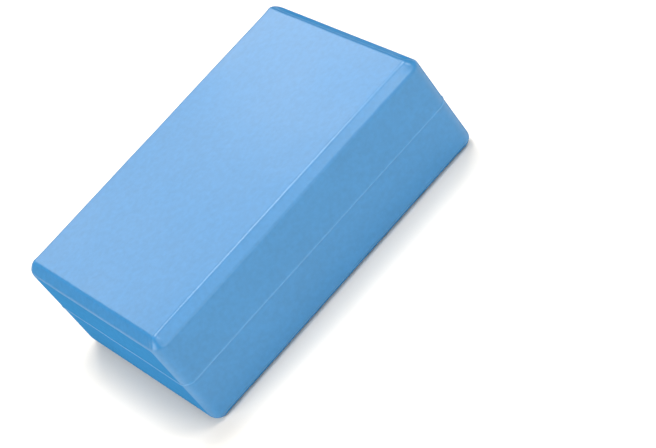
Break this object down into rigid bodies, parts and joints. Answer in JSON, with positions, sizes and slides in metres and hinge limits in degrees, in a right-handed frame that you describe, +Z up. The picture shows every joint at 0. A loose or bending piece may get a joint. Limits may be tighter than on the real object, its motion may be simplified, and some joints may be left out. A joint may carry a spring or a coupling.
{
  "type": "yoga block",
  "caption": "Rectangular closed-cell foam yoga block with broad chamfers, rounded vertical edges and a fine parting line round its sides.",
  "frame": {"origin": "centre of the bottom face, which is the largest face", "axes": "+X along the length, +Y across the width, +Z up through the thickness"},
  "size_m": [0.2294, 0.153, 0.0762],
  "materials": {
    "eva_foam": "satin moulded skin on closed-cell EVA foam, light blue"
  },
  "bodies": {
    "root": {"foam_block": "eva_foam"}
  },
  "joints": []
}
